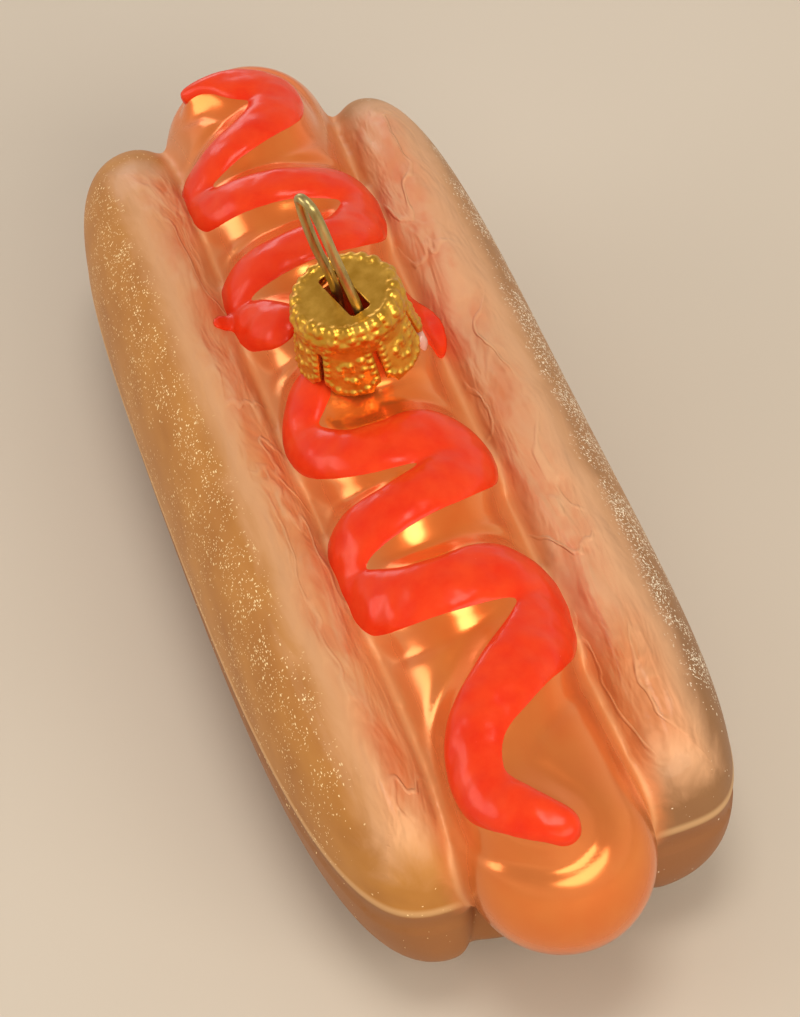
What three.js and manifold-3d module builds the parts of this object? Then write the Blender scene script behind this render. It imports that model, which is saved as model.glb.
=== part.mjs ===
// Blown-glass Christmas ornament in the shape of a hot dog: two bun halves, the sausage
// lying between them, a raised line of ketchup, a stamped crown cap and its wire hanger.
// Millimetres, +Z up, +X towards the near end. It lies on its back, so the cap points up.
import * as THREE from "three";
import { mergeVertices } from "three/addons/utils/BufferGeometryUtils.js";
import Module from "manifold-3d";

const wasm = await Module();
wasm.setup();

// Sausage
const SAUSAGE_LENGTH = 114;
const SAUSAGE_MIDDLE_X = 0.3;
const SAUSAGE_RADIUS = 9.6;
const SAUSAGE_END_RADIUS = 8.5;
const SAUSAGE_DOME = 8.5;
const SAUSAGE_AXIS_Z = 20.2;
const SAUSAGE_DROOP = 1.9;

// Bun halves
const BUN_CREST_Y = 13;
const BUN_CREST_Z = 28.3;
const BUN_WAIST_Z = 15.6;
const BUN_FOOT_Y = 9.6;
const BUN_INNER_Y = 5.5;
const BUN_ENDS = {
  left: { nearX: 48.6, nearY: 20.3, nearSquareness: 3.2, farX: 50.9, farY: 20, farSquareness: 5 },
  right: { nearX: 48, nearY: 20.5, nearSquareness: 4.4, farX: 48.8, farY: 19.3, farSquareness: 3.3 },
};
const BUN_WRINKLE = 0.28;
const SPOT_DEPTH = 0.35;

// Underside of the bun, which joins the halves below the sausage
const UNDERSIDE_HALF_WIDTH = 16.8;
const UNDERSIDE_HALF_LENGTH = 46.5;
const UNDERSIDE_TOP_Z = 17;

// Ketchup: [x, y, half width] down each stroke, and how far it stands above the sausage
const KETCHUP_HEIGHT = 1.5;
const KETCHUP_ROOT = 1.1;
const BEND_SHARE = 0.8;
const STROKE_FAR = [
  [-49.5, -3.8, 0.6], [-49.0, -0.9, 1.3], [-46.6, 2.4, 2.2], [-44.2, 3.2, 2.2], [-40.8, 0.7, 1.9],
  [-38.4, -3.6, 1.8], [-36.4, -6.6, 2.3], [-32.9, -5.6, 1.9], [-31.2, -1.8, 1.8], [-30.3, 3.0, 1.9],
  [-29.0, 6.7, 2.6], [-25.4, 6.7, 2.6], [-22.0, 4.0, 1.8], [-21.4, -1.0, 1.8], [-21.2, -6.2, 2.5],
  [-18.4, -7.7, 2.4], [-14.4, -6.3, 1.7], [-10.8, -3.8, 1.4],
];
const STROKE_SIDE = [[-16.6, 5.6, 0.8], [-15, 8.2, 1.3], [-11.8, 9, 1.9], [-9.2, 8.9, 1.9], [-5.9, 7.4, 1.2]];
const STROKE_NEAR = [
  [-3.9, -4.7, 1.4], [-2.6, -6.9, 2.2], [1.2, -7.4, 2.3], [5.2, -5.0, 2.5], [6.8, -1.0, 3.1],
  [7.1, 3.2, 3.4], [9.6, 5.5, 3.0], [12.8, 2.6, 2.6], [14.3, -2.0, 2.4], [15.4, -6.6, 3.0],
  [18.4, -8.0, 2.9], [23.0, -5.6, 2.7], [24.6, -1.4, 3.0], [24.9, 3.6, 3.3], [27.0, 6.4, 3.0],
  [31.2, 5.2, 2.8], [36.4, 0.3, 2.7], [40.8, -4.4, 2.8], [45.6, -5.1, 2.6], [49.7, -2.9, 2.2],
  [52.6, 0.4, 1.0],
];

// Neck of the glass and the cap that sits on it
const CAP_BASE = new THREE.Vector3(-5.0, 0.45, 30.6);
const CAP_TOP = new THREE.Vector3(-4.55, -0.49, 38.5);
const CAP_TOP_RADIUS = 5.35;
const CAP_FOOT_RADIUS = 6.15;
const SHEET = 0.4;
const BEAD_COUNT = 22;
const BEAD_RADIUS = 0.52;
const BEAD_RING_RADIUS = 4.85;
const PETAL_COUNT = 6;
const PETAL_SLIT = 0.45;
const PETAL_HEIGHT = 5;
const FIRST_SLIT_ANGLE = 0.45;
const SLOT_LENGTH = 5.8;
const SLOT_WIDTH = 2.1;
const SLOT_ANGLE = 0.27;
const NECK_RADIUS = 4.4;
const NECK_BORE_RADIUS = 3.3;
const NECK_BORE_FLOOR = -0.6;
const NECK_TOP = 6.4;

// Wire hanger
const WIRE_RADIUS = 0.44;
const WIRE_LEG_SPACING = 4.1;
const WIRE_BOW_SPACING = 3.2;
const WIRE_FOOT_DEPTH = 5.6;
const WIRE_RISE = 12.2;
const WIRE_LEAN = new THREE.Vector3(-0.35, -2.55, 0);

const OUTLINE_MIDDLE = new THREE.Vector3(0.3, -0.4156, 0);
const SLIVER = 0.015;

// The near end and the middle of the glass wander a little sideways.
function bow(x) {
  return -0.4 + 0.00036 * (x - 18) ** 2;
}

function superPower(value, exponent) {
  return Math.sign(value) * Math.abs(value) ** (2 / exponent);
}

// Roundness of an end: 1 in the middle, 0 at the tip.
function endTaper(t, exponent) {
  return Math.max(0, 1 - Math.abs(t) ** exponent) ** (1 / exponent);
}

// A ball whose poles lie along X; each vertex is moved by place(t, angle).
function ballAlongX(around, along, place) {
  const geometry = new THREE.SphereGeometry(1, around, along);
  geometry.rotateZ(-Math.PI / 2);
  const position = geometry.attributes.position;
  for (let i = 0; i < position.count; i++) {
    const t = THREE.MathUtils.clamp(position.getX(i), -1, 1);
    const angle = Math.atan2(position.getZ(i), position.getY(i));
    const point = place(t, angle);
    position.setXYZ(i, point.x, point.y, point.z);
  }
  return geometry;
}

function sausageAxisZ(x) {
  return SAUSAGE_AXIS_Z - SAUSAGE_DROOP * ((x - SAUSAGE_MIDDLE_X) / (SAUSAGE_LENGTH / 2)) ** 2;
}

function sausageRadius(x) {
  const straight = SAUSAGE_LENGTH / 2 - SAUSAGE_DOME;
  const reach = Math.abs(x - SAUSAGE_MIDDLE_X);
  const taper = Math.min(1, reach / straight);
  const radius = SAUSAGE_RADIUS - (SAUSAGE_RADIUS - SAUSAGE_END_RADIUS) * taper ** 2;
  const dome = Math.max(0, reach - straight) / SAUSAGE_DOME;
  return radius * Math.sqrt(Math.max(0, 1 - dome ** 2));
}

function sausage() {
  return ballAlongX(30, 38, (t, angle) => {
    const x = SAUSAGE_MIDDLE_X + (SAUSAGE_LENGTH / 2) * t;
    const radius = sausageRadius(x);
    const y = bow(x) + radius * Math.cos(angle);
    return new THREE.Vector3(x, y, sausageAxisZ(x) + radius * Math.sin(angle));
  });
}

// Soft crumb wrinkles on the inner face of a bun half, none on the baked outside.
function crumb(x, y) {
  const inside = THREE.MathUtils.smoothstep(BUN_CREST_Y + 2 - Math.abs(y), 0, 3);
  const ripple = Math.sin(0.62 * x + 0.9 * y) + Math.sin(0.37 * x - 1.3 * y + 1) * 0.8;
  return BUN_WRINKLE * inside * ripple;
}

// One bun half; side is +1 for the right (+Y) and -1 for the left.
function bunHalf(side) {
  const ends = side > 0 ? BUN_ENDS.right : BUN_ENDS.left;
  const middleY = BUN_FOOT_Y;
  const middleZ = BUN_WAIST_Z - 1;
  return ballAlongX(26, 34, (t, angle) => {
    const out = side * Math.cos(angle);
    const up = Math.sin(angle);
    const above = up >= 0;
    const rootY = above ? BUN_CREST_Y : BUN_FOOT_Y;
    const sideY = THREE.MathUtils.lerp(ends.farY, ends.nearY, (t + 1) / 2);
    const reach = out >= 0 ? sideY - rootY : rootY - BUN_INNER_Y;
    const outline = out < 0 && above ? 1.75 : 2.3;
    const rise = above ? BUN_CREST_Z - BUN_WAIST_Z : BUN_WAIST_Z + SPOT_DEPTH;
    const sectionY = rootY + reach * superPower(out, outline);
    const sectionZ = BUN_WAIST_Z + rise * superPower(up, outline);
    const x = (t > 0 ? ends.nearX : ends.farX) * t;
    const squareness = t > 0 ? ends.nearSquareness : ends.farSquareness;
    const y = middleY + (sectionY - middleY) * endTaper(t, squareness);
    const z = middleZ + (sectionZ - middleZ) * endTaper(t, 3.6);
    const relief = crumb(x, y) * Math.max(0, up) * endTaper(t, 3);
    return new THREE.Vector3(x, side * y + bow(x), z + relief);
  });
}

function bunUnderside() {
  return ballAlongX(20, 16, (t, angle) => {
    const halfHeight = (UNDERSIDE_TOP_Z + SPOT_DEPTH) / 2;
    const x = UNDERSIDE_HALF_LENGTH * t;
    const y = UNDERSIDE_HALF_WIDTH * superPower(Math.cos(angle), 2.4) * endTaper(t, 3.8);
    const z = halfHeight - SPOT_DEPTH + halfHeight * superPower(Math.sin(angle), 2.4) * endTaper(t, 3);
    return new THREE.Vector3(x, y + bow(x), z);
  });
}

// Where a point lies that is arc millimetres round the sausage from its top line.
function drape(x, arc, height) {
  const radius = Math.max(sausageRadius(x), 1.5);
  const angle = THREE.MathUtils.clamp(arc / radius, -1.4, 1.4);
  const step = 0.2;
  const slope = (sausageRadius(x + step) - sausageRadius(x - step)) / (2 * step);
  const facing = new THREE.Vector3(-slope, Math.sin(angle), Math.cos(angle)).normalize();
  const surface = new THREE.Vector3(
    x, bow(x) + radius * Math.sin(angle), sausageAxisZ(x) + radius * Math.cos(angle));
  return surface.addScaledVector(facing, height);
}

// A closed rod along a path: pointAt(u, across, over) places each vertex, across and over
// running round a unit circle, to the left of the path and above it.
function rodAlong(around, along, pointAt) {
  const geometry = new THREE.CylinderGeometry(1, 1, 1, around, along, false);
  const position = geometry.attributes.position;
  for (let i = 0; i < position.count; i++) {
    const u = THREE.MathUtils.clamp(position.getY(i) + 0.5, 0, 1);
    const point = pointAt(u, position.getX(i), -position.getZ(i));
    position.setXYZ(i, point.x, point.y, point.z);
  }
  return geometry;
}

// One stroke of ketchup, laid out flat as x against arc and then draped over the sausage.
function ketchupStroke(stations, along) {
  const flat = stations.map(([x, y, halfWidth]) => {
    const radius = sausageRadius(x);
    const across = THREE.MathUtils.clamp((y - bow(x)) / radius, -0.97, 0.97);
    return new THREE.Vector3(x, radius * Math.asin(across), halfWidth);
  });
  const path = new THREE.CatmullRomCurve3(flat, false, "centripetal");
  const length = path.getLength();
  const step = 0.012;
  const planAt = (u) => path.getPointAt(THREE.MathUtils.clamp(u, 0, 1));
  const stretch = (u) => planAt(u + step).sub(planAt(u - step)).setZ(0);
  const turnAt = (u) => {
    const before = stretch(u - step).normalize();
    const after = stretch(u + step).normalize();
    return (before.x * after.y - before.y * after.x) / Math.max(stretch(u).length(), 0.01);
  };
  return rodAlong(8, along, (u, across, over) => {
    const plan = planAt(u);
    const direction = stretch(u).normalize();
    const fromEnd = Math.min(u, 1 - u) * length;
    const roundOff = Math.sqrt(Math.max(0, 1 - Math.max(0, 1 - fromEnd / plan.z) ** 2));
    const turn = turnAt(u);
    const insideOfBend = across * turn > 0;
    const widest = insideOfBend ? BEND_SHARE / Math.abs(turn) : Infinity;
    const offset = across * Math.min(plan.z * Math.max(roundOff, 0.05), widest);
    const height = over > 0 ? KETCHUP_HEIGHT * Math.max(roundOff, 0.15) : KETCHUP_ROOT;
    return drape(plan.x - direction.y * offset, plan.y + direction.x * offset, over * height);
  });
}

// The cap and the neck lean a little: both are drawn upright about their own Z axis.
function capTurn() {
  const up = CAP_TOP.clone().sub(CAP_BASE).normalize();
  return new THREE.Quaternion().setFromUnitVectors(new THREE.Vector3(0, 0, 1), up);
}

function onCapAxis(geometry) {
  geometry.applyQuaternion(capTurn());
  geometry.translate(CAP_BASE.x, CAP_BASE.y, CAP_BASE.z);
  return geometry;
}

function turned(outline, around) {
  const profile = outline.map(([radius, z]) => new THREE.Vector2(radius, z));
  return new THREE.LatheGeometry(profile, around).rotateX(Math.PI / 2);
}

function neck() {
  const outline = [
    [0, -6], [6.8, -6], [6.3, -3], [5.2, -1], [4.7, 0.4], [NECK_RADIUS, 2],
    [NECK_RADIUS, NECK_TOP - 0.3], [NECK_RADIUS - 0.3, NECK_TOP], [0, NECK_TOP],
  ];
  return onCapAxis(turned(outline, 24));
}

function neckBore() {
  const outline = [
    [0, NECK_BORE_FLOOR], [NECK_BORE_RADIUS - 0.6, NECK_BORE_FLOOR],
    [NECK_BORE_RADIUS, NECK_BORE_FLOOR + 0.6], [NECK_BORE_RADIUS, NECK_TOP + 2], [0, NECK_TOP + 2],
  ];
  return onCapAxis(turned(outline, 20));
}

// Drop of clear glue at the foot of the cap.
function glueDrop() {
  const geometry = new THREE.SphereGeometry(1, 8, 6);
  geometry.scale(1.1, 0.8, 1.0);
  geometry.translate(-4.6, 6.9, 27.3);
  return geometry;
}

function capHeight() {
  return CAP_TOP.distanceTo(CAP_BASE);
}

// Outside and inside of the sheet, from the foot of the skirt to the flat top.
function capOutside() {
  const height = capHeight();
  const top = CAP_TOP_RADIUS;
  const foot = CAP_FOOT_RADIUS;
  return turned([
    [0, 0], [foot, 0], [foot - 0.15, 1.2], [top + 0.25, 3.2], [top, 5.2], [top, height - 2.2],
    [top + 0.25, height - 1.8], [top, height - 1.4], [top - 0.35, height - 0.4],
    [top - 0.95, height], [0, height],
  ], 36);
}

function capInside() {
  const height = capHeight();
  const top = CAP_TOP_RADIUS - SHEET;
  const foot = CAP_FOOT_RADIUS - SHEET;
  return turned([
    [0, -1], [foot, -1], [foot, 0], [foot - 0.15, 1.2], [top + 0.25, 3.2],
    [top, 5.2], [top, height - 1.4], [top - 0.8, height - SHEET], [0, height - SHEET],
  ], 36);
}

function capBead(index) {
  const angle = (index / BEAD_COUNT) * 2 * Math.PI;
  const geometry = new THREE.SphereGeometry(BEAD_RADIUS, 6, 5);
  geometry.translate(BEAD_RING_RADIUS, 0, capHeight() - 0.3);
  geometry.rotateZ(angle);
  return geometry;
}

function petalSlit(index) {
  const angle = FIRST_SLIT_ANGLE + (index / PETAL_COUNT) * 2 * Math.PI;
  const slit = new THREE.BoxGeometry(4, PETAL_SLIT, PETAL_HEIGHT);
  slit.translate(CAP_FOOT_RADIUS, 0, PETAL_HEIGHT / 2 - 0.5);
  slit.rotateZ(angle);
  return slit;
}

// Rounded corners of two neighbouring petals, cut as one notch at the foot of a slit.
function petalNotch(index) {
  const angle = FIRST_SLIT_ANGLE + (index / PETAL_COUNT) * 2 * Math.PI;
  const notch = new THREE.CylinderGeometry(1.15, 1.15, 4, 12);
  notch.rotateZ(Math.PI / 2);
  notch.translate(CAP_FOOT_RADIUS, 0, -0.1);
  notch.rotateZ(angle);
  return notch;
}

function hangerSlot() {
  const slot = new THREE.BoxGeometry(SLOT_LENGTH, SLOT_WIDTH, 4);
  slot.translate(0, 0, capHeight());
  slot.rotateZ(SLOT_ANGLE);
  return slot;
}

// Wire hanger: two legs down through the slot, drawn together into a bow at the top.
function wireHanger() {
  const along = new THREE.Vector3(Math.cos(SLOT_ANGLE), Math.sin(SLOT_ANGLE), 0);
  const down = CAP_BASE.clone().sub(CAP_TOP).normalize();
  const bowTop = CAP_TOP.clone().add(WIRE_LEAN).add(new THREE.Vector3(0, 0, WIRE_RISE));
  const rising = bowTop.clone().sub(CAP_TOP).normalize();
  const bowRadius = WIRE_BOW_SPACING / 2;
  const shoulder = bowTop.clone().addScaledVector(rising, -bowRadius);
  const leg = (sign) => [
    CAP_TOP.clone().addScaledVector(down, WIRE_FOOT_DEPTH).addScaledVector(along, sign * 2.1),
    CAP_TOP.clone().addScaledVector(down, WIRE_FOOT_DEPTH / 2).addScaledVector(along, sign * 2.1),
    CAP_TOP.clone().addScaledVector(along, (sign * WIRE_LEG_SPACING) / 2),
    CAP_TOP.clone().lerp(shoulder, 0.5).addScaledVector(along, sign * 1.85),
    shoulder.clone().addScaledVector(along, sign * bowRadius),
  ];
  const bend = (angle) => shoulder.clone()
    .addScaledVector(along, bowRadius * Math.cos(angle))
    .addScaledVector(rising, bowRadius * Math.sin(angle));
  const stations = [
    ...leg(1), bend(Math.PI / 4), bowTop, bend((3 * Math.PI) / 4), ...leg(-1).reverse(),
  ];
  const path = new THREE.CatmullRomCurve3(stations, false, "centripetal");
  const toLeft = new THREE.Vector3().crossVectors(along, rising).normalize();
  return rodAlong(8, 40, (u, across, over) => {
    const up = new THREE.Vector3().crossVectors(path.getTangentAt(u), toLeft).normalize();
    return path.getPointAt(u)
      .addScaledVector(toLeft, across * WIRE_RADIUS)
      .addScaledVector(up, over * WIRE_RADIUS);
  });
}

// Closed solid from a geometry, and back to a geometry for drawing.
function solid(geometry) {
  const plain = geometry.clone();
  plain.deleteAttribute("normal");
  plain.deleteAttribute("uv");
  const welded = mergeVertices(plain, 1e-4);
  const mesh = new wasm.Mesh({
    numProp: 3,
    vertProperties: new Float32Array(welded.attributes.position.array),
    triVerts: new Uint32Array(welded.index.array),
  });
  mesh.merge();
  return new wasm.Manifold(mesh);
}

function geometryOf(manifold) {
  const mesh = manifold.getMesh();
  const geometry = new THREE.BufferGeometry();
  geometry.setAttribute("position", new THREE.BufferAttribute(new Float32Array(mesh.vertProperties), 3));
  geometry.setIndex(new THREE.BufferAttribute(new Uint32Array(mesh.triVerts), 1));
  geometry.computeVertexNormals();
  return geometry;
}

function join(geometries) {
  return geometries.map(solid).reduce((whole, piece) => whole.add(piece));
}

// Clear away slivers left where surfaces cross, too small to see or to make.
function cleaned(manifold) {
  return manifold.simplify(SLIVER);
}

function range(count) {
  return Array.from({ length: count }, (_, index) => index);
}

function part(name, manifold, material) {
  const mesh = new THREE.Mesh(geometryOf(manifold), new THREE.MeshStandardMaterial(material));
  mesh.name = name;
  return mesh;
}

// Glass body, resting on the flat spot left by the cut at z = 0
const ground = new THREE.BoxGeometry(200, 100, 20).translate(0, 0, -10);
const glass = join([
  bunHalf(1), bunHalf(-1), bunUnderside(), sausage(), neck(), glueDrop(),
  ketchupStroke(STROKE_FAR, 60), ketchupStroke(STROKE_SIDE, 12), ketchupStroke(STROKE_NEAR, 76),
]).subtract(solid(neckBore())).subtract(solid(ground));

// Cap: thin sheet with a ring of beads, slit into petals, with a slot for the wire
const beads = range(BEAD_COUNT).map(capBead);
const cuts = range(PETAL_COUNT).flatMap((index) => [petalSlit(index), petalNotch(index)]);
const cap = join([capOutside(), ...beads])
  .subtract(join([capInside(), ...cuts, hangerSlot()]));

const glassMesh = part("glass_body", cleaned(glass), { color: 0xd98a4e, roughness: 0.3, metalness: 0.3 });
const capMesh = part("cap", cleaned(cap), { color: 0xc9a03c, roughness: 0.3, metalness: 1 });
capMesh.position.copy(CAP_BASE);
capMesh.quaternion.copy(capTurn());
const hanger = solid(wireHanger());
const hangerMesh = part("wire_hanger", hanger, { color: 0x9a8a4a, roughness: 0.3, metalness: 1 });

// The origin is the middle of the outline, on the surface it rests on.
const ornament = new THREE.Group();
ornament.position.copy(OUTLINE_MIDDLE).negate();
ornament.add(glassMesh, capMesh, hangerMesh);

const group = new THREE.Group();
group.name = "hot_dog_ornament";
group.add(ornament);

export default group;
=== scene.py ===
import bpy
import math
from mathutils import Matrix, Vector, noise
from mathutils.bvhtree import BVHTree


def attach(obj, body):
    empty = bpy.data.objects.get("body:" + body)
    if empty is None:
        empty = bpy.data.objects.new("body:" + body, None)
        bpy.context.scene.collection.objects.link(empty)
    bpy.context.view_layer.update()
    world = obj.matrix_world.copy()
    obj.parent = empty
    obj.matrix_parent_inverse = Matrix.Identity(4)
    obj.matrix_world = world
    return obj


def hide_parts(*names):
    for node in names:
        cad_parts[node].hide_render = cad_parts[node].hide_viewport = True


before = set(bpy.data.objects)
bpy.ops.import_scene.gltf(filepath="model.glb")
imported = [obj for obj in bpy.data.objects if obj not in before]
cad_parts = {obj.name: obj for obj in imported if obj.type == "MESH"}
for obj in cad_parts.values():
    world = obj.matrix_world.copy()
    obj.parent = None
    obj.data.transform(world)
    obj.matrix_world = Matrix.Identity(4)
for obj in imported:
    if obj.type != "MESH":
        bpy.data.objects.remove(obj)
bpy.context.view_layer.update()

# Blown-glass hot dog ornament, lying on its underside. The forms are worked in the drawing's
# millimetres, +X towards the near end, +Y to the right, +Z up, and set in the row frame by
# to_frame() when they are done.

MM = 0.001
DRAWING_SHIFT = Vector((-0.3, 0.4156, 0.0))

# Seen from above, the whole is bent a little, about BOW_MIDDLE_X.
BOW_MIDDLE_X = 18
BOW_MIDDLE_Y = -0.4
BOW_GROWTH = 0.00036

SAUSAGE_MIDDLE_X = 0.3
SAUSAGE_HALF_LENGTH = 56.9
SAUSAGE_RADIUS = 9.6
SAUSAGE_END_RADIUS = 8.5
SAUSAGE_DOME = 8.5
SAUSAGE_AXIS_Z = 20.2
SAUSAGE_DROOP = 1.9
SAUSAGE_DROOP_REACH = 57

BUN_CREST_Y = 13.0
BUN_CREST_Z = 28.25
BUN_WAIST_Z = 15.6
BUN_FOOT_Y = 9.6
BUN_FOOT_Z = 14.6
BUN_FOOT_BELOW = 0.3
BUN_INNER_Y = 5.5
# How square the section is, on its steep inner side and everywhere else, and the ends from the side.
BUN_STEEP = 1.75
BUN_PLUMP = 2.3
BUN_END_RISE = 3.6
# For each half: length and squareness of its near and far ends, and how far out its sides stand.
BUN_ENDS = {
    -1: dict(near=48.5, far=50.8, near_square=3.2, far_square=5.0, near_side=20.2, far_side=19.9),
    1: dict(near=47.9, far=48.7, near_square=4.4, far_square=3.3, near_side=20.4, far_side=19.2),
}
UNDERSIDE_HALF_LENGTH = 46.4
UNDERSIDE_HALF_WIDTH = 16.7
UNDERSIDE_MIDDLE_Z = 8.325
UNDERSIDE_HALF_HEIGHT = 8.675
UNDERSIDE_SQUARE = 2.4
UNDERSIDE_END_WIDTH = 3.8
UNDERSIDE_END_RISE = 3.0
FOOT_LEVEL = 0.02

# The crest is where the soft inside of the bun turns into its frosted outside.
CREST_OUT = {-1: 14.8, 1: 15.7}
CREST_NEAR_X = 46.5
CREST_FAR_X = 43.5
CREST_FOOT_Z = 20
UNDERSIDE_TOP_Z = 14
PARTING_Z = 15.2
PARTING_SWAY = 0.9

# Fine relief of the glass, in millimetres.
WRINKLE_DEPTH = 0.42
EDGE_LIFT = 0.08
DIP_DEPTH = 0.24
DIP_FROM_KETCHUP = 1.5
PARTING_BEAD = 0.10
PARTING_GROOVE = 0.20
# What is noted at each point of the glass, for its relief and its paint.
GLASS_FACTS = ("bun", "outside", "above_rim", "near_ketchup", "glitter")

KETCHUP_ROOT = 1.1
KETCHUP_RISE = 1.45
KETCHUP_SQUARE = 2.2
MOUND_WIDER = 0.65
MOUND_RISE = 1.0
# Stations of the ketchup strokes: x, y, half width.
STROKES = {
    "far": [
        (-50.1, -4.1, 0.6), (-49.4, -1.6, 1.2), (-47.5, 1.3, 2.4), (-45.2, 3.7, 2.8),
        (-42.2, 3.1, 2.8), (-39.6, -0.2, 2.5), (-38.0, -4.2, 2.5), (-36.2, -7.1, 2.8),
        (-32.8, -5.9, 2.5), (-30.8, -1.8, 2.5), (-29.7, 3.1, 2.5), (-28.8, 6.9, 3.0),
        (-25.6, 6.9, 3.0), (-21.9, 4.0, 2.5), (-20.8, -1.0, 2.6), (-20.7, -6.4, 2.9),
        (-18.4, -8.5, 3.0), (-14.7, -6.6, 2.7), (-10.8, -3.8, 2.2),
    ],
    "spur": [(-17.9, -8.4, 1.2), (-16.9, -9.8, 0.9), (-16.2, -10.8, 0.4)],
    "side": [
        (-17.3, 4.3, 0.9), (-15.0, 5.4, 1.8), (-11.8, 6.6, 2.3), (-8.9, 7.0, 2.4),
        (-6.6, 6.5, 2.3), (-5.0, 5.7, 1.6),
    ],
    "near": [
        (-4.6, -2.1, 1.4), (-2.8, -5.0, 2.6), (1.4, -7.2, 2.5), (5.9, -4.9, 2.6),
        (7.6, -1.0, 3.2), (7.5, 3.4, 3.6), (9.5, 5.7, 3.4), (13.0, 2.6, 3.0),
        (14.7, -2.0, 2.9), (15.5, -7.1, 3.4), (18.5, -8.8, 3.3), (23.4, -5.9, 3.2),
        (25.0, -1.4, 3.3), (24.8, 4.1, 3.6), (26.6, 6.7, 3.4), (31.2, 5.3, 3.4),
        (36.4, 0.3, 3.2), (40.7, -4.2, 3.0), (45.5, -5.1, 2.7), (49.6, -2.8, 2.2),
        (52.9, 0.9, 1.3),
    ],
}

CAP_BASE = Vector((-5.0, 0.45, 30.6))
CAP_TOP = Vector((-4.55, -0.49, 38.5))
CAP_HEIGHT = (CAP_TOP - CAP_BASE).length
CAP_TOP_RADIUS = 5.15
CAP_FOOT_RADIUS = 5.95
SHEET = 0.4
PETAL_COUNT = 6
FIRST_SLIT_ANGLE = 0.12
SLIT_SIZE = (4, 0.5, 5.0)
SLIT_HEIGHT = 2.0
NOTCH_RADIUS = 1.2
NOTCH_HEIGHT = -0.15
SLOT_ANGLE = 0.27
SLOT_SIZE = (5.8, 2.1, 4)

WIRE_ANGLE = 0.38
WIRE_SET_OFF = Vector((0.75, 0.0, 0.0))
WIRE_RADIUS = 0.48
WIRE_TOP = CAP_TOP + Vector((-0.20, -2.36, 11.95))
WIRE_BOW_RADIUS = 1.1
WIRE_LEAN = Vector((0, -0.12, 0))
GLUE_PLACE = (-4.4, 5.95, 29.6)
GLUE_SIZE = (1.05, 0.70, 1.45)

# Sizes of the remeshed cells: fine enough that no cell shows.
GLASS_VOXEL = 0.44
KETCHUP_VOXEL = 0.22
CAP_VOXEL = 0.11

MOTTLE = "mottle"
GLITTER = "glitter_chips"

# Paint, as linear colours.
LACQUER = ((0.92, 0.185, 0.024), (0.96, 0.275, 0.050))
LACQUER_DEEP = (0.84, 0.13, 0.020)
LACQUER_FLANK = (0.72, 0.285, 0.100)
LACQUER_TIP = (0.68, 0.215, 0.055)
BLUSH = ((0.66, 0.19, 0.062), (0.70, 0.30, 0.120))
BLUSH_FOLD = (0.74, 0.38, 0.19)
BLUSH_CREST = (0.68, 0.345, 0.155)
# Painted light: the inside of the right half is made lighter.
BLUSH_RIGHT_HIGHLIGHT = (0.74, 0.42, 0.24)
BLUSH_ROSY = (0.66, 0.165, 0.050)
BLUSH_WARM = (0.60, 0.20, 0.055)
BLUSH_CREASE = (0.86, 0.52, 0.28)
HUSK = ((0.44, 0.168, 0.022), (0.55, 0.235, 0.040))
HUSK_RIGHT = (0.50, 0.26, 0.115)
# Painted shade on the outside of the right half: towards the near end, and mottled in its glitter band.
HUSK_SHADED = (0.27, 0.125, 0.045)
HUSK_BAND_SHADE = (0.27, 0.135, 0.060)
# Painted shade on the band below the parting line, where the bun curves under.
HUSK_LOW_SHADE = (0.30, 0.110, 0.032)
# Pale gold of the crease line, also used for a painted highlight along the parting line.
LINE_AND_HIGHLIGHT_GOLD = (0.90, 0.60, 0.30)
CHIP_LEFT = (0.98, 0.76, 0.40)
CHIP_RIGHT = (1.0, 0.90, 0.70)

# Lamps: name, azimuth and elevation in degrees, distance, size, power and colour.
LAMPS = (
    ("window_far", 183, 14, 0.8, (0.50, 0.22), 0.55, (0.96, 0.95, 1.0)),
    ("window_left", 250, 24, 0.8, (0.50, 0.30), 1.15, (1.0, 0.95, 0.88)),
    ("window_near", 12, 33, 0.6, (0.62, 0.34), 2.0, (1.0, 0.93, 0.80)),
    ("overhead", 0, 80, 0.9, (0.34, 0.34), 2.4, (1.0, 0.95, 0.88)),
)
ROOM_COLOURS = ((0.0, (0.95, 0.86, 0.76)), (0.55, (0.60, 0.55, 0.50)), (1.0, (0.48, 0.44, 0.40)))
ROOM_STRENGTH = 0.92

CAMERA_ELEVATION, CAMERA_AZIMUTH, CAMERA_ROLL = 47.0, -12.608, -7.573
CAMERA_DISTANCE = 0.38908
CAMERA_TARGET = Vector((0.00093, 0.0011786, 0.014591))
FOCAL_LENGTH_PX = 4137.359
PHOTO_HEIGHT_PX = 1017
SENSOR_MM = 36


# Working by hand

def let_go():
    if bpy.context.object and bpy.context.object.mode != "OBJECT":
        bpy.ops.object.mode_set(mode="OBJECT")
    bpy.ops.object.select_all(action="DESELECT")


def take_up(*pieces):
    let_go()
    for piece in pieces:
        piece.select_set(True)
    bpy.context.view_layer.objects.active = pieces[0]


def start_section(name, outline):
    """A flat section, one face, set to its outline and left open for drawing out."""
    let_go()
    bpy.ops.mesh.primitive_circle_add(vertices=len(outline), radius=1, fill_type="NGON")
    piece = bpy.context.object
    piece.name = piece.data.name = name
    for vertex, point in zip(piece.data.vertices, outline):
        vertex.co = point
    bpy.ops.object.mode_set(mode="EDIT")
    bpy.ops.mesh.select_all(action="SELECT")
    return piece


def draw_out(step):
    bpy.ops.mesh.extrude_region_move(TRANSFORM_OT_translate={"value": tuple(step)})


def size_about(centre, x=1.0, y=1.0, z=1.0):
    bpy.ops.transform.resize(value=(x, y, z), center_override=tuple(centre))


def turn_about_z(centre, angle):
    bpy.ops.transform.rotate(value=-angle, orient_axis="Z", center_override=tuple(centre))


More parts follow.
